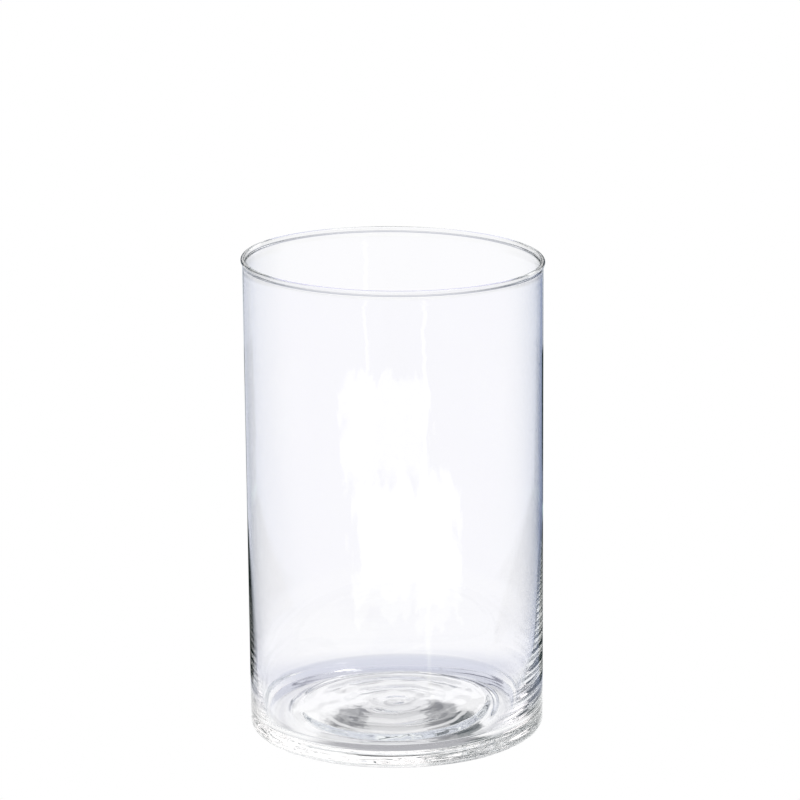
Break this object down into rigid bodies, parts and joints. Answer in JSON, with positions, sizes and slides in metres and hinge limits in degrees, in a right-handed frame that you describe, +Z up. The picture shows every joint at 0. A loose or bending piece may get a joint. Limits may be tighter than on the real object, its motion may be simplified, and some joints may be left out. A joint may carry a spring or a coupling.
{
  "type": "cylinder vase",
  "caption": "Clear glass cylinder flower vase: thin straight wall, fire-polished rim bead, thick rounded foot with a hollow underside, open top.",
  "frame": {"origin": "centre of the circle the vase stands on, on the table", "axes": "+Z up along the vase's axis, from the foot to the open rim; the vase is round, so +X and +Y are any two directions across it"},
  "size_m": [0.1496, 0.1496, 0.24],
  "materials": {
    "clear_glass": "clear, polished, very faint grey-green tint that shows in the thick foot and the rim"
  },
  "bodies": {
    "root": {"glass_vase": "clear_glass"}
  },
  "joints": []
}
